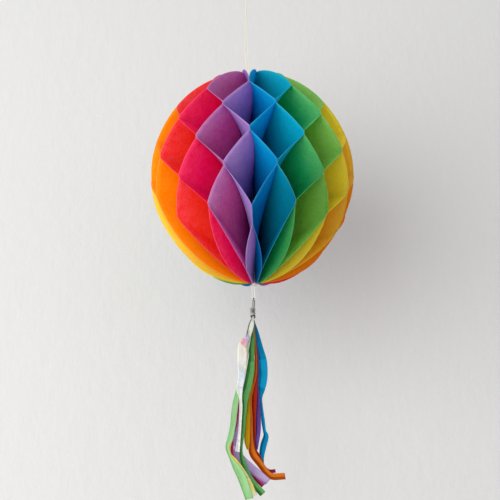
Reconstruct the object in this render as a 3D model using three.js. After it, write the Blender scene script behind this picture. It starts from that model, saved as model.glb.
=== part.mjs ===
import * as THREE from 'three';

// A honeycomb paper ball: tissue leaves glued in alternate rows, hung by a loop of string, with a tassel.
// Millimetres, Z up, the front towards -Y. The origin is the top of the string loop.

// Ball
const LEAF_PAIRS = 12;
const LEAVES_PER_COLOUR = 2;
const BALL_RADIUS = 100;
const LEAF_THICKNESS = 0.35;
const GLUE_GAP = 0.25;
const ROW_ANGLE = 18.3; // degrees at the rim between glue rows, seen from the ball's centre
const ROWS_EACH_WAY = 2; // glue rows above and below the middle one
const GLUE_HALF_ANGLE = 1.3; // degrees at the rim that a row stays glued, up and down
const TIP_RADIUS = 7; // rim to axis where a leaf ends
const FLAP_JOIN = 12.5; // degrees from a leaf's tip at which the loose ends of two leaves meet
const FLAP_BULGE = 2.2; // power by which a top end leaves its row's seam late on its way to the tip
const FLAP_LEAN = 3.5; // the tips stand this much lower at the front of the ball, and higher at the back
const CLOSING_ROW_DROP = 4; // degrees that the closing seam's lowest row starts below the other seams'
const CLOSING_SEAM_HOLD = 11; // degrees that the closing seam stays shut below its lowest row
const BALL_OFFSET = 2.5; // the ball's axis stands to the viewer's right of the string and the tassel
const LEAF_BOW = 3.5; // degrees that the closing seam bows round the spine, half-way out to the rim
const BOW_REACH = 30; // degrees to either side of the closing seam where that bow ends
const SIDE_BOW = 4; // degrees that the leaves at the ball's sides bow towards the front
const MID_SHARE = 0.4; // where a leaf bends on its way out from the spine to the rim
const CELL_STEPS = 2;
const FLAP_STEPS = 4;

// Rows whose glue has let go, by the leaf's index: the leaf keeps to its other seam there.
const LET_GO = new Map([[17, -1], [18, -2], [19, -2]]);

// Spine
const SPINE_ROW_PITCH = 40; // rows lie further apart on the spine than at the rim
const SPINE_ROW_SINK = 19; // middle row on the spine, below the ball's centre
const SPINE_TOP_RUN = 51; // spine above its highest row
const SPINE_LOW_RUN = 14.5; // spine below its lowest row
const SPINE_OVERHANG = 0.5; // spine above the leaves
const SPINE_STUB = 2; // spine below the leaves
const SPINE_CLEARANCE = 0.3;
const SPINE_SIDES = 16;
const SPINE_COLOUR = 0xe9e4d6;

// String loop
const STRING_DIAMETER = 0.7;
const STRING_BEND = 1.4; // radius of the bend at the top
const STRING_STEPS = 80;
const STRING_COLOUR = 0xe6ddc0;
const LOOP_LENGTH = 95.5; // top of the loop to the spine
const SEAT_GAP = 0.3; // string and thread to the ends of the spine
const CORD_SIDES = 8;

// The loop from its feet up to the bend: half the way from strand to strand, across and back, the drop, and
// how far right the middle of the two strands is there.
const STRANDS = [
  [0.42, 0, LOOP_LENGTH - SEAT_GAP, 1.2],
  [0.45, 0, LOOP_LENGTH - 4, 1.15],
  [1.1, 0, LOOP_LENGTH - 14, 0.4],
  [1.35, 0.3, 66, -0.3],
  [1, 1, 35, -0.1],
  [0.3, STRING_BEND, 14, 0],
  [0, STRING_BEND, 5, 0],
];

// Thread loop between the ball and the tassel
const THREAD_DIAMETER = 0.8;
const THREAD_LENGTH = 15;
const THREAD_CLEARANCE = 0.3; // thread to the wire inside its bend
const THREAD_LEAN = 0.5; // top of the thread, to the viewer's left of its bend
const THREAD_STEPS = 30;
const THREAD_COLOUR = 0xf2efe6;
const BEND_STEPS = 6;

// Wire
const WIRE_DIAMETER = 0.8;
const WIRE_SIDES = 6;
const WIRE_TURN_GAP = 0.2;
const WIRE_COLOUR = 0x9b9b98;
const WRAP_LENGTH = 9.5;
const WRAP_CLEARANCE = 0.35;
const EYE_LENGTH = 10;
const EYE_ASIDE = 1.2; // the eye stands to the viewer's right of the neck
const EYE_CLEARANCE = 0.5; // thread to the sides of the eye
const EYE_SLACK = 0.8; // thread to the top of the eye
const EYE_TURN = 60; // degrees that the eye is turned from the front
const EYE_TAIL = 2; // end of the wire inside the neck
const STEPS_PER_TURN = 12;

// Tassel strips
const TASSEL_LENGTH = 173; // wire to the end of the longest strip
const STRIP_WIDTH = 8;
const STRIP_THICKNESS = 0.25;
const STRIP_GAP = 0.15;
const STRIP_SPREAD = 0.012; // growth of the gap for each millimetre of drop
const LAYER_SLOPE = 0.6; // back over across: the strips hang turned, so the tassel is deep as well as wide
const NECK_WIDTH = 1.8;
const TAIL_CLEARANCE = 0.3; // strips to the wire's end inside the neck
const STRIP_STEPS = 2; // from point to point

// Each strip, front to back. A point is its place across and its drop below the wire, in hundredths of the
// tassel's length, and the width that shows there, in hundredths of the strip's width.
const STRIPS = [
  {
    name: 'film_front',
    colour: 0xe8e6dc,
    points: [[-1, 5, 60], [-3, 12.5, 55], [-5.5, 17, 92], [-6, 25, 106], [-6.5, 35, 72], [-7.7, 43.5, 66],
      [-7.2, 48, 30], [-8, 66, 30], [-9.3, 76.5, 50]],
  },
  {
    name: 'light_green',
    colour: 0x93cc84,
    points: [[-6, 29, 40], [-8, 42, 56], [-10.3, 52.5, 62], [-11.5, 63, 58], [-13, 70, 58],
      [-14.4, 74.5, 36], [-13, 79.5, 30], [-10, 84.5, 78], [-7.5, 89, 98], [-3.7, 100, 92]],
  },
  {
    name: 'film_back',
    colour: 0xe6dfb8,
    points: [[-6, 32, 40], [-10, 51, 50], [-12.3, 68, 52], [-13.7, 74, 40], [-13.2, 78, 42],
      [-11, 81, 70], [-7, 87.5, 100], [-4.2, 93, 106], [-2, 98.2, 96]],
  },
  {
    name: 'green',
    colour: 0x3f8f3c,
    points: [[-0.3, 10, 38], [-1.1, 15.5, 75], [-1.2, 22, 62], [-2, 31, 89], [-4.2, 42, 85],
      [-5.2, 45, 96], [-5.2, 50, 52], [-6.4, 64, 44], [-7.5, 75, 32], [-6.8, 80, 56], [-4.2, 87, 58],
      [-1.5, 91.5, 75], [3, 96.2, 78]],
  },
  {
    name: 'lavender',
    colour: 0xa386bd,
    points: [[-6, 37, 28], [-8.5, 60.5, 24], [-10.2, 69, 52], [-9.9, 73, 46], [-9.3, 76.5, 88],
      [-7, 79.7, 102], [-2.5, 83.3, 99], [5.7, 89.4, 88]],
  },
  {
    name: 'yellow',
    colour: 0xc79a1c,
    points: [[-1.5, 36, 28], [-3.1, 46.5, 27], [-3.5, 52, 44], [-4.1, 61, 56], [-4.5, 69, 58],
      [-4.1, 73.4, 24]],
  },
  {
    name: 'orange',
    colour: 0xd2601c,
    points: [[1, 23, 28], [0.5, 31.5, 37], [-1.5, 40.5, 38], [-2.4, 46, 36], [-2.5, 56, 46],
      [-2.5, 69, 56], [-1.7, 75, 80], [2, 80, 77], [4.7, 83.5, 72], [7.5, 85.6, 74], [14.7, 84.8, 72]],
  },
  {
    name: 'crimson',
    colour: 0xa92a52,
    points: [[-6.6, 39, 22], [-8.8, 54, 22], [-9.5, 60.5, 28], [-12, 70.5, 34], [-12.2, 74.5, 40],
      [-11.4, 77.6, 52], [-7.6, 80.6, 75], [-2, 85, 90], [3.8, 90.2, 90]],
  },
  {
    name: 'red',
    colour: 0xa8301e,
    points: [[1.3, 24, 25], [0.8, 33, 37], [-0.4, 43, 68], [-0.7, 52, 54], [-0.8, 65, 30], [-1, 71, 34],
      [1, 75.5, 52], [3.7, 81, 50], [6.6, 82.6, 40], [9.8, 82.1, 38]],
  },
  {
    name: 'violet',
    colour: 0x54357c,
    points: [[2.1, 24, 19], [1.6, 38, 20], [1.7, 45, 40], [1.4, 54, 64], [1.2, 62, 58], [0.4, 68, 48],
      [0.3, 71.8, 20]],
  },
  {
    name: 'blue',
    colour: 0x0f86b4,
    points: [[1.8, 8, 50], [3.1, 17, 96], [4.4, 23, 106], [4.5, 32, 102], [3.5, 38, 90], [3.1, 43, 38],
      [3.3, 46, 25], [4, 56, 41], [4.6, 61, 37], [5.3, 63.5, 58], [3.8, 69, 69], [2.8, 75, 52],
      [3.5, 79.4, 15]],
  },
];

const RAINBOW = [
  { name: 'blue', colour: 0x0d86b8 },
  { name: 'green', colour: 0x4ba24a },
  { name: 'yellow', colour: 0xf2c21a },
  { name: 'orange', colour: 0xf07a16 },
  { name: 'red', colour: 0xe02030 },
  { name: 'purple', colour: 0x8a5aa6 },
];

// Worked out from the sizes above
const TIP_ANGLE = THREE.MathUtils.radToDeg(Math.acos(TIP_RADIUS / BALL_RADIUS));
const FLAP_ANGLE = TIP_ANGLE - FLAP_JOIN;
const LEAF_COUNT = 2 * LEAF_PAIRS;
const LEAF_ANGLE = 360 / LEAF_COUNT;
const LEAF_OFFSET = (LEAF_THICKNESS + GLUE_GAP) / 2;
const LEAF_INNER_RADIUS = (LEAF_COUNT * (LEAF_THICKNESS + GLUE_GAP)) / (2 * Math.PI) + GLUE_GAP;
const SPINE_RADIUS = LEAF_INNER_RADIUS - SPINE_CLEARANCE;
const POLE_TOP = ROWS_EACH_WAY * SPINE_ROW_PITCH - SPINE_ROW_SINK + SPINE_TOP_RUN;
const POLE_LOW = -ROWS_EACH_WAY * SPINE_ROW_PITCH - SPINE_ROW_SINK - SPINE_LOW_RUN;
const BALL_Z = -(LOOP_LENGTH + SPINE_OVERHANG + POLE_TOP);
const SPINE_LOW_Z = BALL_Z + POLE_LOW - SPINE_STUB;
const THREAD_LOW_Z = SPINE_LOW_Z - THREAD_LENGTH;
const THREAD_HALF_WIDTH = (THREAD_DIAMETER + WIRE_DIAMETER) / 2 + THREAD_CLEARANCE;
const EYE_HALF_WIDTH = (THREAD_DIAMETER + WIRE_DIAMETER) / 2 + EYE_CLEARANCE;
const EYE_TOP_Z = THREAD_LOW_Z + THREAD_DIAMETER + EYE_SLACK + WIRE_DIAMETER;
const WRAP_TOP_Z = EYE_TOP_Z - EYE_LENGTH;
const WRAP_LOW_Z = WRAP_TOP_Z - WRAP_LENGTH;
const NECK_GRIP = WRAP_LENGTH - EYE_TAIL - TAIL_CLEARANCE; // strip held inside the wire
const STRIP_PITCH = STRIP_THICKNESS + STRIP_GAP;
const BUNDLE_HALF_DEPTH = (STRIPS.length * STRIP_PITCH + LAYER_SLOPE * NECK_WIDTH) / 2;

const lerp = THREE.MathUtils.lerp;
const radians = THREE.MathUtils.degToRad;

function paper(colour) {
  return new THREE.MeshStandardMaterial({ color: colour, roughness: 0.9, metalness: 0 });
}

function mesh(name, geometry, material) {
  const piece = new THREE.Mesh(geometry, material);
  piece.name = name;
  return piece;
}

// A closed slab from a grid of middle points, each with the vector from there to the front face.
function slabGeometry(grid) {
  const across = grid[0].length;
  const down = grid.length;
  const positions = [];
  for (const side of [1, -1]) {
    for (const point of grid.flat()) {
      positions.push(...point.middle.clone().addScaledVector(point.half, side).toArray());
    }
  }
  const front = (i, j) => i * across + j;
  const back = (i, j) => down * across + front(i, j);
  const faces = [];
  const quad = (a, b, c, d) => faces.push(a, b, c, a, c, d);
  for (let i = 0; i + 1 < down; i += 1) {
    for (let j = 0; j + 1 < across; j += 1) {
      quad(front(i, j), front(i + 1, j), front(i + 1, j + 1), front(i, j + 1));
      quad(back(i, j), back(i, j + 1), back(i + 1, j + 1), back(i + 1, j));
    }
    quad(front(i, 0), back(i, 0), back(i + 1, 0), front(i + 1, 0));
    quad(front(i, across - 1), front(i + 1, across - 1), back(i + 1, across - 1), back(i, across - 1));
  }
  for (let j = 0; j + 1 < across; j += 1) {
    quad(front(0, j), front(0, j + 1), back(0, j + 1), back(0, j));
    quad(front(down - 1, j), back(down - 1, j), back(down - 1, j + 1), front(down - 1, j + 1));
  }
  const geometry = new THREE.BufferGeometry();
  geometry.setAttribute('position', new THREE.Float32BufferAttribute(positions, 3));
  geometry.setIndex(faces);
  return geometry;
}

function smoothCurve(points) {
  return new THREE.CatmullRomCurve3(points, false, 'centripetal');
}

// A round cord or wire along a curve.
function roundAlong(curve, diameter, sides, steps) {
  const section = new THREE.Shape();
  for (let k = 0; k < sides; k += 1) {
    const turn = (2 * Math.PI * k) / sides;
    const x = (diameter / 2) * Math.cos(turn);
    const y = (diameter / 2) * Math.sin(turn);
    if (k === 0) section.moveTo(x, y);
    else section.lineTo(x, y);
  }
  return new THREE.ExtrudeGeometry(section, { steps, extrudePath: curve });
}

// The levels of a leaf from its lower tip to its upper one. swing is 0 on the seams that the middle row
// glues and 1 on the seams between them.
function leafLevels(index) {
  const atClosingSeam = index === 0 || index === LEAF_COUNT - 1;
  const endSwing = 1 - (ROWS_EACH_WAY % 2);
  const levels = [{ angle: -TIP_ANGLE, swing: endSwing }];
  const reach = (angle, swing, steps, power = 1) => {
    const from = levels[levels.length - 1];
    for (let k = 1; k <= steps; k += 1) {
      const share = k / steps;
      levels.push({
        angle: lerp(from.angle, angle, share),
        swing: lerp(from.swing, swing, share ** power),
      });
    }
  };
  reach(-FLAP_ANGLE, endSwing, 1);
  for (let row = -ROWS_EACH_WAY; row <= ROWS_EACH_WAY; row += 1) {
    const lowest = row === -ROWS_EACH_WAY;
    const hold = lowest && atClosingSeam ? CLOSING_SEAM_HOLD : 0;
    const drop = lowest && atClosingSeam ? CLOSING_ROW_DROP : 0;
    const glued = Math.abs(row) % 2;
    const swing = LET_GO.get(index) === row ? 1 - glued : glued;
    reach(row * ROW_ANGLE - GLUE_HALF_ANGLE - hold, swing, lowest ? FLAP_STEPS : CELL_STEPS);
    reach(row * ROW_ANGLE + GLUE_HALF_ANGLE - drop, swing, 1);
  }
  reach(FLAP_ANGLE, endSwing, FLAP_STEPS, FLAP_BULGE);
  reach(TIP_ANGLE, endSwing, 1);
  return levels;
}

// The rim's radius and height at an angle above the ball's middle.
function rimAt(angle) {
  const rise = Math.sin(radians(angle));
  const pole = rise > 0 ? POLE_TOP : -POLE_LOW;
  return {
    radius: BALL_RADIUS * Math.cos(radians(angle)),
    height: rise * (BALL_RADIUS + (pole - BALL_RADIUS) * rise * rise),
  };
}

// The height on the spine that a leaf's line at this angle runs in to.
function spineHeightAt(angle) {
  const edge = ROWS_EACH_WAY * ROW_ANGLE;
  const middle = -SPINE_ROW_SINK;
  const reach = ROWS_EACH_WAY * SPINE_ROW_PITCH;
  if (angle > edge) return lerp(middle + reach, POLE_TOP, (angle - edge) / (TIP_ANGLE - edge));
  if (angle < -edge) return lerp(middle - reach, POLE_LOW, (-angle - edge) / (TIP_ANGLE - edge));
  return middle + (SPINE_ROW_PITCH * angle) / ROW_ANGLE;
}

// How far the leaves bow at a turn from the closing seam, half-way out to the rim.
function bowAt(turn) {
  const aside = Math.abs(turn - 2 * Math.PI * Math.round(turn / (2 * Math.PI))) / radians(BOW_REACH);
  const closing = aside < 1 ? LEAF_BOW * Math.cos((Math.PI / 2) * aside) : 0;
  return radians(closing - SIDE_BOW * Math.sin(turn));
}

// A leaf fills the wedge between two seams and swings from one seam to the other, row by row.
function leafGeometry(index) {
  const edge = ROWS_EACH_WAY * ROW_ANGLE;
  const grid = leafLevels(index).map(({ angle, swing }) => {
    const rim = rimAt(angle);
    const share = index % 2 ? 1 - swing : swing;
    const loose = Math.max(0, (Math.abs(angle) - edge) / (TIP_ANGLE - edge));
    return [0, MID_SHARE, 1].map((out) => {
      const radius = lerp(LEAF_INNER_RADIUS, rim.radius, out);
      const margin = Math.asin(LEAF_OFFSET / radius);
      const plain = radians(index * LEAF_ANGLE) + lerp(margin, radians(LEAF_ANGLE) - margin, share);
      const turn = plain + bowAt(plain) * 4 * out * (1 - out);
      const lean = FLAP_LEAN * loose * out * Math.cos(plain);
      const height = lerp(spineHeightAt(angle), rim.height, out) - lean;
      return {
        middle: new THREE.Vector3(radius * Math.sin(turn), -radius * Math.cos(turn), height),
        half: new THREE.Vector3(Math.cos(turn), Math.sin(turn), 0).multiplyScalar(LEAF_THICKNESS / 2),
      };
    });
  });
  return slabGeometry(grid);
}

function makeBall() {
  const ball = new THREE.Group();
  ball.position.set(BALL_OFFSET, 0, BALL_Z);
  for (let index = 0; index < LEAF_COUNT; index += 1) {
    const tint = RAINBOW[Math.floor(index / LEAVES_PER_COLOUR) % RAINBOW.length];
    const number = String(index + 1).padStart(2, '0');
    ball.add(mesh(`leaf_${number}_${tint.name}`, leafGeometry(index), paper(tint.colour)));
  }
  const top = POLE_TOP + SPINE_OVERHANG;
  const low = POLE_LOW - SPINE_STUB;
  const rod = new THREE.CylinderGeometry(SPINE_RADIUS, SPINE_RADIUS, top - low, SPINE_SIDES);
  const spine = mesh('spine', rod, paper(SPINE_COLOUR));
  spine.rotation.x = Math.PI / 2;
  spine.position.z = (top + low) / 2;
  ball.add(spine);
  return ball;
}

function makeString() {
  const strand = (side) => {
    const points = STRANDS.map(([across, back, drop, middle]) => (
      new THREE.Vector3(middle + side * across, side * back, -drop)));
    for (const degrees of [0, 45]) {
      const turn = radians(degrees);
      const rise = STRING_BEND * (Math.sin(turn) - 1) - STRING_DIAMETER / 2;
      points.push(new THREE.Vector3(0, side * STRING_BEND * Math.cos(turn), rise));
    }
    return points;
  };
  const up = strand(-1);
  const down = strand(1).reverse();
  const top = new THREE.Vector3(0, 0, -STRING_DIAMETER / 2);
  const curve = smoothCurve([...up, top, ...down]);
  const cord = roundAlong(curve, STRING_DIAMETER, CORD_SIDES, STRING_STEPS);
  return mesh('string_loop', cord, paper(STRING_COLOUR));
}

// The thread is a loop from the spine down through the wire's eye.
function makeThread() {
  const top = SPINE_LOW_Z - SEAT_GAP;
  const bend = THREAD_LOW_Z + THREAD_DIAMETER / 2 + THREAD_HALF_WIDTH;
  const foot = (side) => new THREE.Vector3(EYE_ASIDE - THREAD_LEAN + side * THREAD_HALF_WIDTH, 0, top);
  const points = [foot(-1)];
  for (let k = 0; k <= BEND_STEPS; k += 1) {
    const turn = Math.PI * (1 + k / BEND_STEPS);
    const across = EYE_ASIDE + THREAD_HALF_WIDTH * Math.cos(turn);
    points.push(new THREE.Vector3(across, 0, bend + THREAD_HALF_WIDTH * Math.sin(turn)));
  }
  points.push(foot(1));
  const cord = roundAlong(smoothCurve(points), THREAD_DIAMETER, CORD_SIDES, THREAD_STEPS);
  return mesh('tassel_thread', cord, paper(THREAD_COLOUR));
}

// One wire: up inside the neck, round the eye, and down in turns about the bundle of strips.
function makeWire() {
  const eyeBend = EYE_TOP_Z - WIRE_DIAMETER / 2 - EYE_HALF_WIDTH;
  const eyeTurn = radians(EYE_TURN);
  const points = [
    new THREE.Vector3(0, 0, WRAP_TOP_Z - EYE_TAIL),
    new THREE.Vector3(0, 0, WRAP_TOP_Z),
  ];
  for (let k = 0; k <= BEND_STEPS; k += 1) {
    const turn = Math.PI * (1 - k / BEND_STEPS);
    const across = EYE_HALF_WIDTH * Math.cos(turn);
    const z = eyeBend + EYE_HALF_WIDTH * Math.sin(turn);
    points.push(new THREE.Vector3(EYE_ASIDE + across * Math.cos(eyeTurn), across * Math.sin(eyeTurn), z));
  }
  const halfWidth = NECK_WIDTH / 2 + WRAP_CLEARANCE + WIRE_DIAMETER;
  const halfDepth = BUNDLE_HALF_DEPTH + WRAP_CLEARANCE + WIRE_DIAMETER;
  const turns = Math.floor(WRAP_LENGTH / (WIRE_DIAMETER + WIRE_TURN_GAP));
  for (let k = 0; k <= turns * STEPS_PER_TURN; k += 1) {
    const turn = eyeTurn + (2 * Math.PI * k) / STEPS_PER_TURN;
    const z = lerp(WRAP_TOP_Z, WRAP_LOW_Z, k / (turns * STEPS_PER_TURN));
    points.push(new THREE.Vector3(halfWidth * Math.cos(turn), halfDepth * Math.sin(turn), z));
  }
  const steel = new THREE.MeshStandardMaterial({ color: WIRE_COLOUR, roughness: 0.35, metalness: 1 });
  const wire = roundAlong(smoothCurve(points), WIRE_DIAMETER, WIRE_SIDES, points.length);
  return mesh('neck_wire', wire, steel);
}

// A strip hangs in its own layer of the bundle, and the layers spread apart on the way down.
function stripGeometry(strip, layer) {
  const hanging = strip.points.map(([across, drop, width]) => ({
    across: (across / 100) * TASSEL_LENGTH,
    drop: (drop / 100) * TASSEL_LENGTH,
    width: (width / 100) * STRIP_WIDTH,
  }));
  const neck = { across: 0, drop: -NECK_GRIP, width: NECK_WIDTH };
  const mouth = { across: 0, drop: 0, width: NECK_WIDTH };
  const points = [neck, mouth, ...hanging];
  const route = smoothCurve(points.map(({ across, drop }) => new THREE.Vector3(across, 0, -drop)));
  const widths = smoothCurve(points.map(({ width }, k) => new THREE.Vector3(k, width, 0)));
  const steps = STRIP_STEPS * (points.length - 1);
  const grid = [];
  for (let k = 0; k <= steps; k += 1) {
    const along = k / steps;
    const centre = route.getPoint(along);
    const heading = route.getTangent(along);
    const sideways = new THREE.Vector3(-heading.z, 0, heading.x);
    grid.push([-0.5, 0.5].map((side) => {
      const middle = centre.clone().addScaledVector(sideways, side * widths.getPoint(along).y);
      const drop = Math.max(0, -middle.z);
      middle.y = layer * (STRIP_PITCH + STRIP_SPREAD * drop) + LAYER_SLOPE * middle.x;
      return { middle, half: new THREE.Vector3(0, -STRIP_THICKNESS / 2, 0) };
    }));
  }
  return slabGeometry(grid);
}

function makeTassel() {
  const tassel = new THREE.Group();
  tassel.position.z = WRAP_LOW_Z;
  STRIPS.forEach((strip, k) => {
    const layer = k - (STRIPS.length - 1) / 2;
    tassel.add(mesh(`strip_${strip.name}`, stripGeometry(strip, layer), paper(strip.colour)));
  });
  return tassel;
}

const honeycombBall = new THREE.Group();
honeycombBall.add(makeBall(), makeString(), makeThread(), makeWire(), makeTassel());

export default honeycombBall;
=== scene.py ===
"""Dresses a honeycomb paper ball for rendering: tissue leaves, string, thread, wire and tassel strips."""

import math

import bmesh
import bpy
from bpy.props import FloatProperty, FloatVectorProperty, IntProperty, PointerProperty
from mathutils import Matrix, Vector, noise


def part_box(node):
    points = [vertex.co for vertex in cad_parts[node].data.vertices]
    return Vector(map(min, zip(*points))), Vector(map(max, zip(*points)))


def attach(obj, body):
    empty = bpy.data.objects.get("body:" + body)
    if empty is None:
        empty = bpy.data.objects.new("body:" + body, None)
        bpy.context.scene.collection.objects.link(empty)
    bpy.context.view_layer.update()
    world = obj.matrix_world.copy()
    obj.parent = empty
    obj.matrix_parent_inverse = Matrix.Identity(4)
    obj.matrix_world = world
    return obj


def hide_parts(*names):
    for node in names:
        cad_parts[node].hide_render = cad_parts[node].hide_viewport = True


bl_info = {
    "name": "Honeycomb Paper Ball",
    "version": (1, 0, 0),
    "blender": (4, 5, 0),
    "location": "View3D > Sidebar > Paper Ball",
    "description": "Makes the leaves, cords, wire and tassel of a hanging honeycomb paper ball",
    "category": "Object",
}

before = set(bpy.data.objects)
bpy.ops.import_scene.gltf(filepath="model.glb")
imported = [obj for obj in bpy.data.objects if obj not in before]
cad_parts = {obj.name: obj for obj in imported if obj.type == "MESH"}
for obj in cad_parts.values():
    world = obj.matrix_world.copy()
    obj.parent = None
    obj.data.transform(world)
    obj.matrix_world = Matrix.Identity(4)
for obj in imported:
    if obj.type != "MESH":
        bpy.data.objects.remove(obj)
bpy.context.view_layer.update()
BODY = "root"
MM = 0.001
WHITE = (1, 1, 1, 1)

LEAF_NODES = sorted(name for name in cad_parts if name.startswith("leaf_"))
RIM_RADIUS = -min(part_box(name)[0].y for name in LEAF_NODES)
SPINE_LOW, SPINE_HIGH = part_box("spine")
THREAD_LOW, THREAD_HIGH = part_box("tassel_thread")
WIRE_LOW, WIRE_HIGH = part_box("neck_wire")

# The ball's centre is on the spine's axis, this far below the spine's upper end
CENTRE_DROP = 112.5 * MM
BALL_CENTRE = (SPINE_LOW + SPINE_HIGH) / 2
BALL_CENTRE.z = SPINE_HIGH.z - CENTRE_DROP

# The string loop from its feet up to the bend at its top, in metres: half the way from strand to strand,
# across and back, the drop, and how far right the middle of the two strands is there
STRANDS = [
    (0.00042, 0, 0.0952, 0.0012),
    (0.00045, 0, 0.0915, 0.00115),
    (0.0011, 0, 0.0815, 0.0004),
    (0.00135, 0.0003, 0.066, -0.0003),
    (0.001, 0.001, 0.035, -0.0001),
    (0.0003, 0.0014, 0.014, 0),
    (0, 0.0014, 0.005, 0),
]

# A cord's sides and plies, and how deep the grooves between its plies are, as a share of its radius
CORD_SIDES = 12
PLIES = 3
PLY_DEPTH = 0.2

# How far the black of the wire's eye fades each way, and over which height the black of its foot fades
EYE_FADE = 1 * MM
FOOT_FADE = (0.8 * MM, 2 * MM)

# Each strip, front to back. A point is its place across and its drop below the wire, in hundredths of the
# tassel's length, and the width that shows there, in hundredths of the strip's width.
STRIPS = {
    "film_front": [
        (-1, 5, 60), (-3, 12.5, 55), (-5.5, 17, 92), (-6, 25, 106), (-6.5, 35, 72), (-7.7, 43.5, 66),
        (-7.2, 48, 30), (-8, 66, 30), (-9.3, 76.5, 50),
    ],
    "light_green": [
        (-6, 29, 40), (-8, 42, 56), (-10.3, 52.5, 62), (-11.5, 63, 58), (-13, 70, 58),
        (-14.4, 74.5, 36), (-13, 79.5, 30), (-10, 84.5, 78), (-7.5, 89, 98), (-3.7, 100, 92),
    ],
    "film_back": [
        (-6, 32, 40), (-10, 51, 50), (-12.3, 68, 52), (-13.7, 74, 40), (-13.2, 78, 42), (-11, 81, 70),
        (-7, 87.5, 100), (-4.2, 93, 106), (-2, 98.2, 96),
    ],
    "green": [
        (-0.3, 10, 38), (-1.1, 15.5, 75), (-1.2, 22, 62), (-2, 31, 89), (-4.2, 42, 85), (-5.2, 45, 96),
        (-5.2, 50, 52), (-6.4, 64, 44), (-7.5, 75, 32), (-6.8, 80, 56), (-4.2, 87, 58),
        (-1.5, 91.5, 75), (3, 96.2, 78),
    ],
    "lavender": [
        (-6, 37, 28), (-8.5, 60.5, 24), (-10.2, 69, 52), (-9.9, 73, 46), (-9.3, 76.5, 88),
        (-7, 79.7, 102), (-2.5, 83.3, 99), (5.7, 89.4, 88),
    ],
    "yellow": [
        (-1.5, 36, 28), (-3.1, 46.5, 27), (-3.5, 52, 44), (-4.1, 61, 56), (-4.5, 69, 58),
        (-4.1, 73.4, 24),
    ],
    "orange": [
        (1, 23, 28), (0.5, 31.5, 37), (-1.5, 40.5, 38), (-2.4, 46, 36), (-2.5, 56, 46), (-2.5, 69, 56),
        (-1.7, 75, 80), (2, 80, 77), (4.7, 83.5, 72), (7.5, 85.6, 74), (14.7, 84.8, 72),
    ],
    "crimson": [
        (-6.6, 39, 22), (-8.8, 54, 22), (-9.5, 60.5, 28), (-12, 70.5, 34), (-12.2, 74.5, 40),
        (-11.4, 77.6, 52), (-7.6, 80.6, 75), (-2, 85, 90), (3.8, 90.2, 90),
    ],
    "red": [
        (1.3, 24, 25), (0.8, 33, 37), (-0.4, 43, 68), (-0.7, 52, 54), (-0.8, 65, 30), (-1, 71, 34),
        (1, 75.5, 52), (3.7, 81, 50), (6.6, 82.6, 40), (9.8, 82.1, 38),
    ],
    "violet": [
        (2.1, 24, 19), (1.6, 38, 20), (1.7, 45, 40), (1.4, 54, 64), (1.2, 62, 58), (0.4, 68, 48),
        (0.3, 71.8, 20),
    ],
    "blue": [
        (1.8, 8, 50), (3.1, 17, 96), (4.4, 23, 106), (4.5, 32, 102), (3.5, 38, 90), (3.1, 43, 38),
        (3.3, 46, 25), (4, 56, 41), (4.6, 61, 37), (5.3, 63.5, 58), (3.8, 69, 69), (2.8, 75, 52),
        (3.5, 79.4, 15),
    ],
}

# How much painted shade a colour's leaves get inside the ball and to its lower right, and how much painted
# light to its upper left, from 0 to 1
PAINTED_LIGHT_AND_SHADE = {"blue": 1.0, "green": 0.7, "yellow": 0.42, "orange": 0.3, "red": 0.1, "purple": 0.25}

# How much of its other side's colour a leaf shows at the rim, from 0 to 1, and the leaves that show more
RIM_SHARE = 0.15
RIM_SHARES = {
    "yellow_by_orange": 0.75, "purple_by_red": 0.55, "red_by_purple": 0.35, "green_by_blue": 0.35,
    "blue_by_green": 0.35,
}

# Depths below a leaf's rim, from where to where each change runs: out of the pale painted highlight along
# the cut edge, to the leaf's own side's colour, to its deep colour of painted shade, and to the painted
# shade by the spine
CUT_EDGE_HIGHLIGHT = (0.2 * MM, 0.9 * MM)
OWN_COLOUR = (0, 26 * MM)
DEEP_PAINTED_SHADE = (30 * MM, 90 * MM)
SPINE_PAINTED_SHADE = (50 * MM, 100 * MM)

# How far below the ball's centre a leaf goes dark with painted shade, and how far above it gets painted
# light, where each millimetre to the right counts as half a millimetre down
LOWER_PAINTED_SHADE = (10 * MM, 90 * MM)
UPPER_PAINTED_LIGHT = (-30 * MM, -100 * MM)

# How light a strip is painted from its drop, both from 0 to 1: painted light and shade, panel by panel
LIGHT_AND_SHADE_PANELS = {
    "light_green": [(0, 0.7), (0.45, 0.8), (0.72, 0.75), (0.76, 0.6), (0.8, 0.7), (0.85, 0.85), (1, 0.8)],
    "green": [
        (0, 0.2), (0.16, 0.32), (0.25, 0.28), (0.262, 0.68), (0.4, 0.65), (0.5, 0.5), (0.65, 0.4),
        (0.78, 0.3), (0.85, 0.3), (0.9, 0.55), (1, 0.6),
    ],
    "lavender": [(0, 0.3), (0.7, 0.4), (0.76, 0.25), (0.8, 0.5), (0.84, 0.35), (0.87, 0.75), (1, 0.8)],
    "yellow": [(0, 0.1), (0.5, 0.3), (0.6, 0.45), (0.68, 0.6), (0.72, 0.45)],
    "orange": [(0, 0.1), (0.35, 0.2), (0.7, 0.3), (0.74, 0.5), (0.8, 0.55), (0.85, 0.7), (1, 0.7)],
    "crimson": [(0, 0.2), (0.7, 0.4), (0.78, 0.3), (0.86, 0.5), (0.9, 0.8)],
    "red": [(0, 0.3), (0.4, 0.4), (0.6, 0.35), (0.75, 0.2), (0.8, 0.4), (1, 0.5)],
    "violet": [(0, 0.3), (0.5, 0.3), (0.6, 0.55), (0.66, 0.7), (0.7, 0.4)],
    "blue": [
        (0, 0), (0.1, 0.12), (0.22, 0.42), (0.228, 0.85), (0.275, 0.85), (0.285, 0.68), (0.31, 0.68),
        (0.325, 0.85), (0.375, 0.85), (0.38, 0.4), (0.46, 0.35), (0.63, 0.5), (0.65, 0.42), (1, 0.4),
    ],
}
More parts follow.
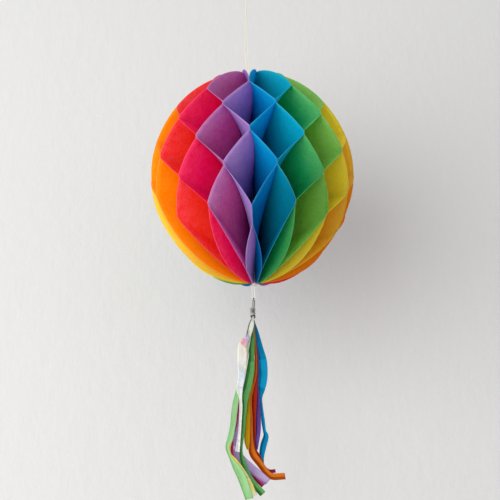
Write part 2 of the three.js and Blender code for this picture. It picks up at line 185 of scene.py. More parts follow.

# Where each strip's lengthwise crease lies, from its left edge, 0, to its right edge, 1, and half its
# width;
# the strip is painted in shade to the left of it
SHADED_CREASES = {
    "light_green": 0.1, "green": 0.42, "lavender": 0.15, "yellow": 0.3, "orange": 0.45, "crimson": 0.25,
    "red": 0.35, "violet": 0.3, "blue": 0.3,
}
CREASE_HALF = 0.07

# Strips whose end is of another colour, and over which drop it comes in, from 0 to 1
END_TINTS = {"red": (0.36, 0.02, 0.10)}
END_COMES_IN = (0.79, 0.815)

# Colours that the film gleams in, from its drop, from 0 to 1
GLEAMS = {
    "film_front": [
        (0, (0.75, 0.75, 0.66)), (0.03, (0.98, 0.98, 0.86)), (0.05, (0.86, 0.97, 0.80)),
        (0.08, (0.98, 0.96, 0.80)), (0.115, (0.42, 0.42, 0.44)), (0.135, (0.62, 0.46, 0.86)),
        (0.155, (0.95, 0.40, 0.58)), (0.175, (1.0, 0.42, 0.42)), (0.19, (1.0, 0.95, 0.80)),
        (0.28, (1.0, 0.98, 0.90)), (0.31, (0.78, 0.80, 0.76)), (0.35, (0.76, 0.90, 1.0)),
        (0.4, (0.96, 0.97, 1.0)), (0.44, (0.86, 0.98, 0.86)), (0.5, (1.0, 0.94, 0.90)),
        (0.7, (1.0, 0.96, 0.93)), (0.75, (0.82, 0.84, 0.80)),
    ],
    "film_back": [
        (0, (0.8, 0.78, 0.65)), (0.6, (0.9, 0.86, 0.7)), (0.72, (1.0, 0.75, 0.08)),
        (0.81, (1.0, 0.76, 0.06)), (0.86, (0.9, 0.8, 0.35)), (0.93, (1.0, 0.82, 0.12)),
        (0.97, (1.0, 0.95, 0.7)), (1, (1.0, 0.97, 0.85)),
    ],
}

# The painted shade of the film's fold lies left of this share of its width and above this drop, from where
# to where it fades
FOLD_SIDE = (0.14, 0.26)
FOLD_DROP = (0.1, 0.13)

# The shortest span of a smooth line, in metres, and the share of a tube's diameter that merges its points
SHORTEST_SPAN = 1e-9
MERGE_SHARE = 1e-4


def length(name, description, default):
    return FloatProperty(name=name, description=description, default=default, unit="LENGTH", precision=5)


def angle(name, description, degrees):
    return FloatProperty(name=name, description=description, default=math.radians(degrees), subtype="ANGLE")


def colour(name, description, default):
    return FloatVectorProperty(
        name=name, description=description, default=default, subtype="COLOR", min=0, max=1)


class BallSettings(bpy.types.PropertyGroup):
    """The tissue ball."""

    radius: length("Radius", "Spine to rim at the ball's middle", RIM_RADIUS)
    pole: length("Pole", "Ball's centre to the upper end of the leaves", 112 * MM)
    low_pole: length("Low pole", "Ball's centre to the lower end of the leaves", 113.5 * MM)
    inner_radius: length("Inner radius", "Axis to the bound edge of a leaf", 2.54 * MM)
    seam_gap: length("Seam gap", "Middle of a leaf to its seam where it is glued", 0.3 * MM)
    thickness: length("Paper", "Thickness of a leaf", 0.2 * MM)
    tip_radius: length("Tip radius", "Axis to the rim where a leaf ends", 7 * MM)
    row_angle: angle("Row angle", "Glue row to glue row at the rim, seen from the ball's centre", 18.3)
    glue_half: angle("Glue", "How far a glue row reaches up and down at the rim", 1.3)
    flap_join: angle("Flap join", "From a leaf's tip to where two loose leaf ends meet", 12.5)
    flap_bulge: FloatProperty(
        name="Flap bulge", description="Power by which a top end leaves its row's seam late", default=2.2)
    flap_lean: length("Flap lean", "Tips lower at the ball's front, and higher at its back", 3.5 * MM)
    closing_drop: angle("Closing row", "How far the closing seam's lowest row starts below the others", 4)
    closing_hold: angle("Closing seam", "How far the closing seam stays shut below its lowest row", 11)
    spine_pitch: length("Spine pitch", "Glue row to glue row on the spine", 40 * MM)
    spine_sink: length("Spine sink", "Middle glue row on the spine, below the ball's centre", 19 * MM)
    bow: angle("Bow", "How far the closing seam bows round the spine, half-way out to the rim", 3.5)
    bow_reach: angle("Bow reach", "How far from the closing seam that bow ends", 30)
    side_bow: angle("Side bow", "How far the leaves at the ball's sides bow towards the front", 4)
    wrinkle: length("Wrinkle", "How far the tissue wanders from a plain fold", 0.5 * MM)
    # Each tint is the leaf's tissue painted with the light that comes through the leaf of the other colour
    # behind it: painted light, one tint of each colour for each neighbour
    blue_by_purple: colour("Blue by purple", "Blue tissue with purple behind", (0.002, 0.47, 0.82))
    blue_by_green: colour("Blue by green", "Blue tissue with green behind", (0.002, 0.58, 0.75))
    green_by_blue: colour("Green by blue", "Green tissue with blue behind", (0.03, 0.66, 0.28))
    green_by_yellow: colour("Green by yellow", "Green tissue with yellow behind", (0.42, 0.76, 0.17))
    yellow_by_green: colour("Yellow by green", "Yellow tissue with green behind", (0.98, 0.89, 0.085))
    yellow_by_orange: colour("Yellow by orange", "Yellow tissue with orange behind", (1.0, 0.60, 0.025))
    orange_by_yellow: colour("Orange by yellow", "Orange tissue with yellow behind", (1.0, 0.42, 0.003))
    orange_by_red: colour("Orange by red", "Orange tissue with red behind", (1.0, 0.37, 0.003))
    red_by_orange: colour("Red by orange", "Red tissue with orange behind", (0.96, 0.075, 0.045))
    red_by_purple: colour("Red by purple", "Red tissue with purple behind", (1.0, 0.018, 0.25))
    purple_by_red: colour("Purple by red", "Purple tissue with red behind", (0.72, 0.19, 0.54))
    purple_by_blue: colour("Purple by blue", "Purple tissue with blue behind", (0.60, 0.41, 0.80))
    binding_ridge: colour("Binding ridge", "Glued paper edges at the spine", (0.8, 0.77, 0.7))
    binding_groove: colour("Binding groove", "Hollows between those edges", (0.55, 0.5, 0.45))


class CordSettings(bpy.types.PropertyGroup):
    """The string loop, the tassel's thread and the wire."""

    string_diameter: length("String", "Thickness of the string", 0.7 * MM)
    string_bend: length("String bend", "Radius of the string's bend at the top", 1.4 * MM)
    thread_diameter: length("Thread", "Thickness of the tassel's thread", 0.8 * MM)
    thread_half_width: length("Thread half width", "Axis to a strand of the thread", 1.1 * MM)
    thread_lean: length("Thread lean", "Top of the thread, to the left of its bend", 0.5 * MM)
    ply_length: length("Ply length", "Length of one full turn of a cord's plies", 2.6 * MM)
    wire_diameter: length("Wire", "Thickness of the wire", 0.8 * MM)
    wire_turns: IntProperty(name="Wire turns", description="Turns of wire round the neck", default=9)
    eye_half_width: length("Eye half width", "Axis to a side of the wire's eye", 1.3 * MM)
    eye_length: length("Eye length", "Top of the eye to the first turn", 10 * MM)
    eye_aside: length("Eye aside", "The eye and the thread, to the right of the neck", 1.2 * MM)
    eye_tail: length("Eye tail", "End of the wire inside the neck", 2 * MM)
    eye_turn: angle("Eye turn", "How far the eye is turned from the front", 60)
    string_tint: colour("String tint", "Colour of the string", (0.80, 0.76, 0.58))
    thread_tint: colour("Thread tint", "Colour of the tassel's thread", (0.80, 0.78, 0.72))
    steel: colour("Steel", "Bright patches of the wire", (0.70, 0.70, 0.70))
    dull_reflection: colour("Tarnish", "Dull patches of the wire", (0.20, 0.20, 0.20))
    eye_and_foot_black: colour("Blackened", "The wire's eye and its lowest turns", (0.014, 0.013, 0.011))


class TasselSettings(bpy.types.PropertyGroup):
    """The tassel's strips."""

    length: length("Length", "Wire to the end of the longest strip", 173 * MM)
    width: length("Width", "Cut width of a strip", 8 * MM)
    thickness: length("Thickness", "Thickness of a strip", 0.2 * MM)
    neck_width: length("Neck width", "Width of a strip inside the wire", 1.8 * MM)
    neck_grip: length("Neck grip", "Length of a strip inside the wire", 7.2 * MM)
    pitch: length("Pitch", "Strip to strip at the neck", 0.4 * MM)
    spread: FloatProperty(
        name="Spread", description="Growth of the pitch for each metre of drop", default=0.012)
    slope: FloatProperty(name="Slope", description="Back over across within a layer", default=0.6)
    film_shade: colour("Film shade", "Shaded ripples of the clear film", (0.40, 0.41, 0.35))
    film_fold: colour("Film fold", "Dark fold of the clear film", (0.03, 0.04, 0.03))
    light_green: colour("Light green", "Dye of the light green strip", (0.36, 0.82, 0.28))
    green: colour("Green", "Dye of the green strip", (0.09, 0.46, 0.08))
    lavender: colour("Lavender", "Dye of the lavender strip", (0.62, 0.44, 0.84))
    yellow: colour("Yellow", "Dye of the yellow strip", (0.72, 0.36, 0.001))
    orange: colour("Orange", "Dye of the orange strip", (0.88, 0.15, 0.004))
    crimson: colour("Crimson", "Dye of the crimson strip", (0.70, 0.03, 0.17))
    red: colour("Red", "Dye of the red strip", (0.52, 0.012, 0.002))
    violet: colour("Violet", "Dye of the violet strip", (0.12, 0.04, 0.36))
    blue: colour("Blue", "Dye of the blue strip", (0.0005, 0.31, 0.68))


class StageSettings(bpy.types.PropertyGroup):
    """Camera, light, wall and floor."""

    camera_place: FloatVectorProperty(
        name="Camera", description="Camera from the ball's centre, before its turn round the ball",
        default=(-3.9 * MM, -1058.5 * MM, -538.4 * MM), subtype="TRANSLATION")
    camera_round: angle("Camera round", "Camera's turn about the ball's axis", 1.05)
    camera_pitch: angle("Camera pitch", "How far the camera looks up", 23.47)
    camera_roll: angle("Camera roll", "How far the picture leans", 1.28)
    camera_reach: length("Camera reach", "How far the camera sees", 20)
    lens: FloatProperty(name="Lens", description="Focal length in millimetres", default=86.4)
    wall_gap: length("Wall gap", "Ball's axis to the wall behind it", 0.18)
    floor_drop: length("Floor drop", "Ball's centre to the floor", 1.5)
    backdrop_half: length("Backdrop", "Middle of the wall, and of the floor, to its edges", 3)
    wall_tint: colour("Wall", "Colour of the wall and the floor", (0.65, 0.648, 0.642))
    window_place: FloatVectorProperty(
        name="Window place", description="Middle of the window's light from the ball's centre",
        default=(-1.2, -1.25, -0.25), subtype="TRANSLATION")
    window_size: FloatVectorProperty(
        name="Window size", description="Width and height of the window's light",
        default=(2.4, 2.0), size=2, unit="LENGTH")
    window_power: FloatProperty(name="Window", description="Light from the left, in watts", default=37)
    room_light: FloatProperty(name="Room", description="Light from all round", default=0.7)


class Shade:
    """An output of a material's node, with Python's operators for the maths on it."""

    def __init__(self, finish, socket):
        self.finish = finish
        self.socket = socket

    def maths(self, operation, first, second):
        return self.finish.node("ShaderNodeMath", {"operation": operation}, {0: first, 1: second})

    def __add__(self, other):
        return self.maths("ADD", self, other)

    __radd__ = __add__

    def __sub__(self, other):
        return self.maths("SUBTRACT", self, other)

    def __rsub__(self, other):
        return self.maths("SUBTRACT", other, self)

    def __mul__(self, other):
        return self.maths("MULTIPLY", self, other)

    __rmul__ = __mul__


class Finish:
    """A material in the making."""

    def __init__(self, name):
        self.material = bpy.data.materials.new(name)
        self.material.use_nodes = True
        self.tree = self.material.node_tree
        self.tree.nodes.clear()

    def node(self, kind, settings=None, inputs=None, output=0):
        """Adds a node with its settings, then the values or links of its sockets."""
        made = self.tree.nodes.new(kind)
        for name, value in (settings or {}).items():
            if name == "stops":
                self.set_stops(made.color_ramp.elements, value)
            else:
                setattr(made, name, value)
        for name, value in (inputs or {}).items():
            if isinstance(value, Shade):
                self.tree.links.new(value.socket, made.inputs[name])
            else:
                made.inputs[name].default_value = value
        return Shade(self, made.outputs[output]) if made.outputs else None

    @staticmethod
    def set_stops(elements, stops):
        while len(elements) < len(stops):
            elements.new(1)
        for element, (place, value) in zip(elements, stops):
            element.position = place
            element.color = (*value, 1)

    def place(self, scale=(1, 1, 1)):
        """Object coordinates, scaled."""
        spot = self.node("ShaderNodeTexCoord", output="Object")
        return self.node("ShaderNodeMapping", {}, {"Vector": spot, "Scale": scale})

    def axis(self, letter):
        """One of the object coordinates, X, Y or Z."""
        return self.node("ShaderNodeSeparateXYZ", {}, {"Vector": self.place()}, letter)

    def attribute(self, name):
        return self.node("ShaderNodeAttribute", {"attribute_name": name}, output="Fac")

    def noise(self, spot, scale, detail=2, roughness=0.5):
        inputs = {"Vector": spot, "Scale": scale, "Detail": detail, "Roughness": roughness}
        return self.node("ShaderNodeTexNoise", {}, inputs, "Fac")

    def between(self, value, low, high):
        """0 below low, 1 above high, smooth between them."""
        settings = {"interpolation_type": "SMOOTHSTEP"}
        inputs = {"Value": value, "From Min": low, "From Max": high}
        return self.node("ShaderNodeMapRange", settings, inputs)

    def mix(self, share, first, second):
        """Colours first and second, mixed by share."""
        settings = {"data_type": "RGBA", "clamp_factor": True}
        return self.node("ShaderNodeMix", settings, {0: share, 6: first, 7: second}, 2)

    def bump(self, height, distance, strength=1.0):
        inputs = {"Height": height, "Distance": distance, "Strength": strength}
        return self.node("ShaderNodeBump", {}, inputs)

    def end(self, surface):
        self.node("ShaderNodeOutputMaterial", {}, {"Surface": surface})
        return self.material


def paler(tint, share):
    """A colour on its way to white."""
    return (*(part + (1 - part) * share for part in tint[:3]), 1)


def darker(tint, share):
    """A colour with only a share of its light left."""
    return (*(part * share for part in tint[:3]), 1)


def toned(tint, power):
    """A deeper colour for a power above 1, a lighter one below 1."""
    return (*(part ** power for part in tint[:3]), 1)


def matt_paper(finish, base, normal, tint, roughness, share):
    """Ends a tissue: a matt skin, mixed by share with the tinted light that comes through."""
    skin = finish.node("ShaderNodeBsdfPrincipled", {}, {
        "Base Color": base, "Roughness": roughness, "Specular IOR Level": 0.04, "Normal": normal})
    through = finish.node("ShaderNodeBsdfTranslucent", {}, {"Color": (*tint, 1), "Normal": normal})
    return finish.end(finish.node("ShaderNodeMixShader", {}, {0: share, 1: skin, 2: through}))


def tissue(name, dye, tint, painted_light_and_shade):
    """Dyed tissue paper: the mix of both its sides' tints at the rim, and its own side's tint further in,
    each tint painted with the light through the leaf behind; with painted shade, painted light and a
    painted highlight.
    """
    finish = Finish(name)
    cloud = finish.noise(finish.place(), scale=130, detail=4, roughness=0.65)
    fibre = finish.noise(finish.place((1, 1, 0.35)), scale=700, roughness=0.6)
    mottle = finish.between(cloud * 0.55 + fibre * 0.45, 0.38, 0.62)
    rim = finish.attribute("rim")
    # A pale painted highlight along the leaf's cut edge
    edge = 1 - finish.between(rim, *CUT_EDGE_HIGHLIGHT)
    inside = finish.between(rim, *OWN_COLOUR)
    # Painted shade: a deeper, darker colour deep inside the cells, where less light also comes through the
    # tissue
    deep = finish.between(rim, *DEEP_PAINTED_SHADE)
    # Painted shade to the lower right and deep by the spine, and painted light to the upper left, as light
    # from the upper left would fall
    below = finish.axis("X") * 0.5 - finish.axis("Z") + BALL_CENTRE.z
    shade = finish.between(below, *LOWER_PAINTED_SHADE) * 0.8 + finish.between(rim, *SPINE_PAINTED_SHADE) * 0.4
    light = finish.between(below, *UPPER_PAINTED_LIGHT) * 0.5
    # The dye here is the rim's mix of both sides' tints, so it carries their painted light too
    outer = finish.mix(mottle, toned(dye, 1.25), toned(dye, 0.75))
    inner = finish.mix(mottle, toned(tint, 1.3), toned(tint, 0.9))
    body = finish.mix(inside, outer, inner)
    lit = finish.mix(light * painted_light_and_shade, body, toned(dye, 0.6))
    with_deep_shade = finish.mix(deep, lit, toned(tint, 2.0))
    dimmed = finish.mix(shade * painted_light_and_shade, with_deep_shade, darker(toned(tint, 2.4), 0.52))
    base = finish.mix(edge * 0.45, dimmed, paler(toned(dye, 0.8), 0.25))
    normal = finish.bump(fibre * 0.5 + cloud * 0.5, distance=0.8 * MM, strength=0.5)
    share = 0.5 - deep * 0.3 + (mottle - 0.5) * 0.16
    return matt_paper(finish, base, normal, tint, roughness=0.9, share=share)


def strip_tissue(name, tint, panel_light_and_shade, crease_at, end_tint):
    """Tissue of a tassel strip, with painted light and shade: lighter or deeper from panel to panel,
    painted shade to the left of its crease, and lighter towards its right edge.
    """
    finish = Finish(name)
    cloud = finish.noise(finish.place(), scale=260, detail=3, roughness=0.6)
    sway = finish.noise(finish.place((1, 1, 0.3)), scale=60)
    drop, side = finish.attribute("drop"), finish.attribute("side")
    edge = 1 - finish.between(finish.attribute("rim"), 0, 0.5 * MM)
    crease = finish.between(side + (sway - 0.5) * 0.5, crease_at - CREASE_HALF, crease_at + CREASE_HALF)
    stops = [(place, (tone, tone, tone)) for place, tone in panel_light_and_shade]
    panel = finish.node("ShaderNodeValToRGB", {"stops": stops}, {"Fac": drop})
    # Painted light and shade from the panel, the crease and the side across the strip, with a random cloud
    tone = panel + (crease - 0.7) * 0.6 + (side - 0.5) * 0.35 + (cloud - 0.5) * 0.4
    dye_with_painted_light = finish.mix(tone, darker(tint, 0.35), toned(tint, 0.65))
    if end_tint:
        dye_with_painted_light = finish.mix(finish.between(drop, *END_COMES_IN), dye_with_painted_light, (*end_tint, 1))
    base = finish.mix(edge * 0.25, dye_with_painted_light, paler(tint, 0.2))
    normal = finish.bump(cloud, distance=0.5 * MM, strength=0.4)
    return matt_paper(finish, base, normal, tint, roughness=0.8, share=0.3)


def film(name, gleams, shade_tint, fold_shade_tint):
    """Clear iridescent film, crumpled, whose gleam changes colour on the way down."""
    finish = Finish(name)
    drop, side = finish.attribute("drop"), finish.attribute("side")
    crumple = finish.noise(finish.place((1, 1, 0.6)), scale=380, detail=4, roughness=0.7)
    ripple = finish.noise(finish.place((0.5, 1, 1.6)), scale=150)
    place = drop + (ripple - 0.5) * 0.05 + (0.5 - side) * 0.04
    gleam = finish.node("ShaderNodeValToRGB", {"stops": gleams}, {"Fac": place})
    spark = finish.between(crumple, 0.5, 0.6)
    shade = finish.between(ripple, 0.42, 0.34)
    # Painted shade along the clear film's fold
    fold = (1 - finish.between(side, *FOLD_SIDE)) * (1 - finish.between(drop, *FOLD_DROP))
    sparkling = finish.mix(spark * 0.25, gleam, WHITE)
    shaded = finish.mix(shade * 0.35, sparkling, (*shade_tint, 1))
    base = finish.mix(fold * 0.9, shaded, (*fold_shade_tint, 1))
    skin = finish.node("ShaderNodeBsdfPrincipled", {}, {
        "Base Color": base, "Metallic": 0.05, "Roughness": 0.25, "Coat Weight": 0.35,
        "Alpha": finish.between(crumple, 0.3, 0.6) * 0.12 + 0.86,
        "Normal": finish.bump(crumple + ripple, distance=1.2 * MM, strength=0.7)})
    return finish.end(skin)


def cotton(name, tint):
    """Twisted cotton: matt, and mottled by its fluff."""
    finish = Finish(name)
    fluff = finish.noise(finish.place(), scale=2500, detail=3, roughness=0.6)
    base = finish.mix(fluff, toned(tint, 1.3), paler(tint, 0.2))
    skin = finish.node("ShaderNodeBsdfPrincipled", {}, {
        "Base Color": base, "Roughness": 0.95, "Specular IOR Level": 0.1,
        "Normal": finish.bump(fluff, distance=0.2 * MM, strength=0.5)})
    return finish.end(skin)


def drawn_wire(name, cords):
    """Dull steel wire, darker in patches of painted reflection, and black at its eye and its lowest turns.
    """
    finish = Finish(name)
    patch = finish.noise(finish.place(), scale=600, detail=3, roughness=0.6)
    height = finish.axis("Z")
    eye_foot = WIRE_HIGH.z - cords.eye_length
    eye = finish.between(height, eye_foot - EYE_FADE, eye_foot + EYE_FADE)
    foot = 1 - finish.between(height - WIRE_LOW.z, *FOOT_FADE)
    # Painted reflection: dull patches among the bright steel stand in for the wire's darker reflections
    plain = finish.mix(finish.between(patch, 0.4, 0.6), (*cords.dull_reflection, 1), (*cords.steel, 1))
    base = finish.mix(eye * 0.9 + foot * 0.8, plain, (*cords.eye_and_foot_black, 1))
    skin = finish.node("ShaderNodeBsdfPrincipled", {}, {
        "Base Color": base, "Roughness": patch * 0.3 + 0.2, "Metallic": 1 - eye * 0.8,
        "Specular IOR Level": 0.2})
    return finish.end(skin)


def binding(name, ridge_tint, groove_shade_tint):
    """Glued paper edges at the spine, with painted shade in the hollows between them."""
    finish = Finish(name)
    ridge = finish.noise(finish.place((1, 1, 0.1)), scale=3000)
    base = finish.mix(ridge, (*groove_shade_tint, 1), (*ridge_tint, 1))
    skin = finish.node("ShaderNodeBsdfPrincipled", {}, {
        "Base Color": base, "Roughness": 0.9,
        "Normal": finish.bump(ridge, distance=0.3 * MM, strength=0.5)})
    return finish.end(skin)


def plaster(name, tint):
    """Pale painted wall that a camera behind it looks through."""
    finish = Finish(name)
    grain = finish.noise(finish.place((1, 1, 0.6)), scale=75, detail=4, roughness=0.6)
    skin = finish.node("ShaderNodeBsdfPrincipled", {}, {
        "Base Color": (*tint, 1), "Roughness": 0.95,
        "Normal": finish.bump(grain, distance=2 * MM, strength=0.4)})
    clear = finish.node("ShaderNodeBsdfTransparent")
    behind = finish.node("ShaderNodeNewGeometry", output="Backfacing")
    seen = finish.node("ShaderNodeLightPath", output="Is Camera Ray")
    return finish.end(finish.node("ShaderNodeMixShader", {}, {0: behind * seen, 1: skin, 2: clear}))


def blend_by(share, low, high):
    return low + (high - low) * share


def arch(share):
    """Up from 0 to 1 half-way and down to 0 again, for a share from 0 to 1."""
    return 4 * share * (1 - share)


def half_turn(way, steps):
    """Angles of a half turn from the left, over the top for a way of -1 and below for a way of 1."""
    return [math.pi * (1 + way * k / steps) for k in range(steps + 1)]


def spline(points, steps):
    """Points along a smooth line through the given ones, steps to each span."""
    points = [Vector(point) for point in points]
    padded = [2 * points[0] - points[1], *points, 2 * points[-1] - points[-2]]
    line = []
    for before, start, end, after in zip(padded, padded[1:], padded[2:], padded[3:]):
        spans = ((before, start), (start, end), (end, after))
        knots = [0.0]
        for low, high in spans:
            knots.append(knots[-1] + math.sqrt(max((high - low).length, SHORTEST_SPAN)))
        for step in range(steps):
            at = blend_by(step / steps, knots[1], knots[2])
            near = [
                low.lerp(high, (at - knots[k]) / (knots[k + 1] - knots[k]))
                for k, (low, high) in enumerate(spans)
            ]
            wide = [
                near[k].lerp(near[k + 1], (at - knots[k]) / (knots[k + 2] - knots[k]))
                for k in range(2)
            ]
            line.append(wide[0].lerp(wide[1], (at - knots[1]) / (knots[2] - knots[1])))
    return [*line, points[-1]]


def headings(route):
    """The direction of a route at each of its points."""
    last = len(route) - 1
    return [(route[min(k + 1, last)] - route[max(k - 1, 0)]).normalized() for k in range(last + 1)]


def new_piece(name, bm, material, node):
    """Makes a piece from a bmesh, in place of a node of the frame."""
    mesh = bpy.data.meshes.new(name)
    bm.to_mesh(mesh)
    bm.free()
    mesh.shade_smooth()
    mesh.materials.append(material)
    piece = bpy.data.objects.new(name, mesh)
    bpy.context.scene.collection.objects.link(piece)
    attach(piece, BODY)
    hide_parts(node)
    return piece


def laid_grid(across, along, place, values=None):
    """A grid whose points place(u, v) sets, u and v from 0 to 1, with an attribute for each of values."""
    bm = bmesh.new()
    bmesh.ops.create_grid(bm, x_segments=across, y_segments=along, size=0.5)
    layers = {name: bm.verts.layers.float.new(name) for name in (values or {})}
    for vert in bm.verts:
        u, v = vert.co.x + 0.5, vert.co.y + 0.5
        for name, layer in layers.items():
            vert[layer] = values[name](u, v)
        vert.co = place(u, v)
    return bm


def thicken(piece, thickness):
    solid = piece.modifiers.new("Thickness", "SOLIDIFY")
    solid.thickness = thickness
    solid.offset = 0


def swept_tube(route, diameter, sides, lobes=0, lobe_depth=0.0, lobe_length=1.0):
    """A closed tube along a route. Lobes that turn on the way make a cord's plies."""
    count = len(route) - 1
    heading = headings(route)
    side = [heading[0].orthogonal().normalized()]
    run = [0.0]
    for k in range(1, count + 1):
        bend = heading[k - 1].rotation_difference(heading[k])
        side.append((bend @ side[-1]).normalized())
        run.append(run[-1] + (route[k] - route[k - 1]).length)

    def place(u, v):
        k = round(v * count)
        turn = math.tau * u
        ply = math.cos(lobes * (turn - math.tau * run[k] / lobe_length)) if lobes else 1.0
        radius = diameter / 2 * (1 - lobe_depth * (1 - ply) / 2)
        up = heading[k].cross(side[k])
        return route[k] + radius * (math.cos(turn) * side[k] + math.sin(turn) * up)

    bm = laid_grid(sides, count, place)
    bmesh.ops.remove_doubles(bm, verts=bm.verts[:], dist=diameter * MERGE_SHARE)
    bmesh.ops.holes_fill(bm, edges=[edge for edge in bm.edges if edge.is_boundary], sides=sides)
    bmesh.ops.recalc_face_normals(bm, faces=bm.faces[:])
    return bm


class Leaf:
    """The form of one leaf, as the ball's settings give it."""

    # Glue rows above the middle one, and below it
    ROWS = 2
    # Steps of the mesh over each kind of stretch up the rim
    STEPS = {"tip": 5, "flap": 20, "top flap": 20, "cell": 14, "glue": 2}
    # Leaves, counted from 0, and the row where each has let go of its seam
    LET_GO = {17: -1, 18: -2, 19: -2}
    # How fast the wrinkles change from leaf to leaf, up the rim and outwards
    WRINKLE_PACE = (5.3, 5, 3)
    # Shares of the coarse and the fine wrinkles, and how many times as fast the fine ones change
    COARSE, FINE, FINE_PACE = 0.7, 0.3, 2.7

    def __init__(self, ball, index, count):
        self.ball = ball
        self.index = index
        self.step = math.tau / count
        self.tip = math.acos(ball.tip_radius / ball.radius)
        self.held = index in (0, count - 1)
        self.lines = self.make_lines()

    def make_lines(self):
        """Angles up the rim, and how far the leaf has swung there from its even seam to its odd one."""
        ball = self.ball
        end = 1 - self.ROWS % 2
        join = self.tip - ball.flap_join
        keys = [(-self.tip, end, "tip"), (-join, end, "tip")]
        for row in range(-self.ROWS, self.ROWS + 1):
            lowest = row == -self.ROWS
            shut = lowest and self.held
            low = row * ball.row_angle - ball.glue_half - (ball.closing_hold if shut else 0)
            high = row * ball.row_angle + ball.glue_half - (ball.closing_drop if shut else 0)
            swing = (row + (self.LET_GO.get(self.index) == row)) % 2
            keys += [(low, swing, "flap" if lowest else "cell"), (high, swing, "glue")]
        keys += [(join, end, "top flap"), (self.tip, end, "tip")]
        lines = [keys[0][:2]]
        for (low, swing, _), (high, swung, kind) in zip(keys, keys[1:]):
            power = ball.flap_bulge if kind == "top flap" else 1
            for k in range(1, self.STEPS[kind] + 1):
                share = k / self.STEPS[kind]
                lines.append((blend_by(share, low, high), blend_by(share ** power, swing, swung)))
        return lines

    def ends(self, up):
        """Radius and height of a line's two ends, on the spine and at the rim."""
        ball = self.ball
        rise = math.sin(up)
        edge = self.ROWS * ball.row_angle
        height = -ball.spine_sink + ball.spine_pitch * max(-edge, min(edge, up)) / ball.row_angle
        past = (abs(up) - edge) / (self.tip - edge)
        pole = ball.pole if up > 0 else ball.low_pole
        if past > 0:
            height = blend_by(past, height, math.copysign(pole, up))
        rim = (ball.radius * math.cos(up), rise * (ball.radius + (pole - ball.radius) * rise * rise))
        return (ball.inner_radius, height), rim

    def line(self, v):
        return self.lines[round(v * (len(self.lines) - 1))]

    def bow(self, turn):
        """How far the leaf bows round the spine at this turn from the front, half-way out."""
        aside = abs(math.remainder(turn, math.tau)) / self.ball.bow_reach
        closing = self.ball.bow * math.cos(math.pi / 2 * aside) if aside < 1 else 0
        return closing - self.ball.side_bow * math.sin(turn)

    def lean(self, up, turn):
        """How far a line's rim end is lowered."""
        edge = self.ROWS * self.ball.row_angle
        loose = max(0, (abs(up) - edge) / (self.tip - edge))
        return self.ball.flap_lean * loose * math.cos(turn)

    def place(self, u, v):
        ball = self.ball
        up, swing = self.line(v)
        share = 1 - swing if self.index % 2 else swing
        (inner, low), (outer, high) = self.ends(up)
        radius = blend_by(u, inner, outer)
        margin = math.asin(ball.seam_gap / radius)
        plain = self.index * self.step + blend_by(share, margin, self.step - margin)
        apart, along, out = self.WRINKLE_PACE
        spot = Vector((self.index * apart, up * along, u * out))
        wander = self.COARSE * noise.noise(spot) + self.FINE * noise.noise(self.FINE_PACE * spot)
        turn = plain + self.bow(plain) * arch(u) + ball.wrinkle * wander * arch(share) * u / radius
        height = blend_by(u, low, high) - u * self.lean(up, plain)
        return BALL_CENTRE + Vector((radius * math.sin(turn), -radius * math.cos(turn), height))

    def rim_distance(self, u, v):
        (inner, low), (outer, high) = self.ends(self.line(v)[0])
        return (1 - u) * math.hypot(outer - inner, high - low)


class PAPERBALL_OT_leaves(bpy.types.Operator):
    """Make the tissue leaves of the ball"""

    bl_idname = "paperball.leaves"
    bl_label = "Leaves"
    RADIAL_STEPS = 22

    def execute(self, context):
        ball = context.scene.paper_ball
        dyes = [node.split("_")[2] for node in LEAF_NODES]
        finishes = {}
        for index, node in enumerate(LEAF_NODES):
            # The next leaf of another colour, and the one on the other side, beyond the twin of this colour
            near, far = (index + 1, index - 2) if index % 2 else (index - 1, index + 2)
            dye = dyes[index]
            side, other_side = (f"{dye}_by_{dyes[beside % len(dyes)]}" for beside in (near, far))
            if side not in finishes:
                tint = getattr(ball, side)
                share = RIM_SHARES.get(side, RIM_SHARE)
                mixed = [blend_by(share, *parts) for parts in zip(tint, getattr(ball, other_side))]
                finishes[side] = tissue(side, mixed, tint, PAINTED_LIGHT_AND_SHADE[dye])
            leaf = Leaf(ball, index, len(LEAF_NODES))
            bm = laid_grid(
                self.RADIAL_STEPS, len(leaf.lines) - 1, leaf.place, {"rim": leaf.rim_distance})
            piece = new_piece(f"tissue_{node}", bm, finishes[side], node)
            thicken(piece, ball.thickness)
        return {"FINISHED"}


class PAPERBALL_OT_spine(bpy.types.Operator):
    """Finish the bound edges at the spine"""

    bl_idname = "paperball.spine"
    bl_label = "Spine"

    def execute(self, context):
        ball = context.scene.paper_ball
        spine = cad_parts["spine"]
        spine.data.materials.clear()
        spine.data.materials.append(binding("binding", ball.binding_ridge, ball.binding_groove))
        return {"FINISHED"}


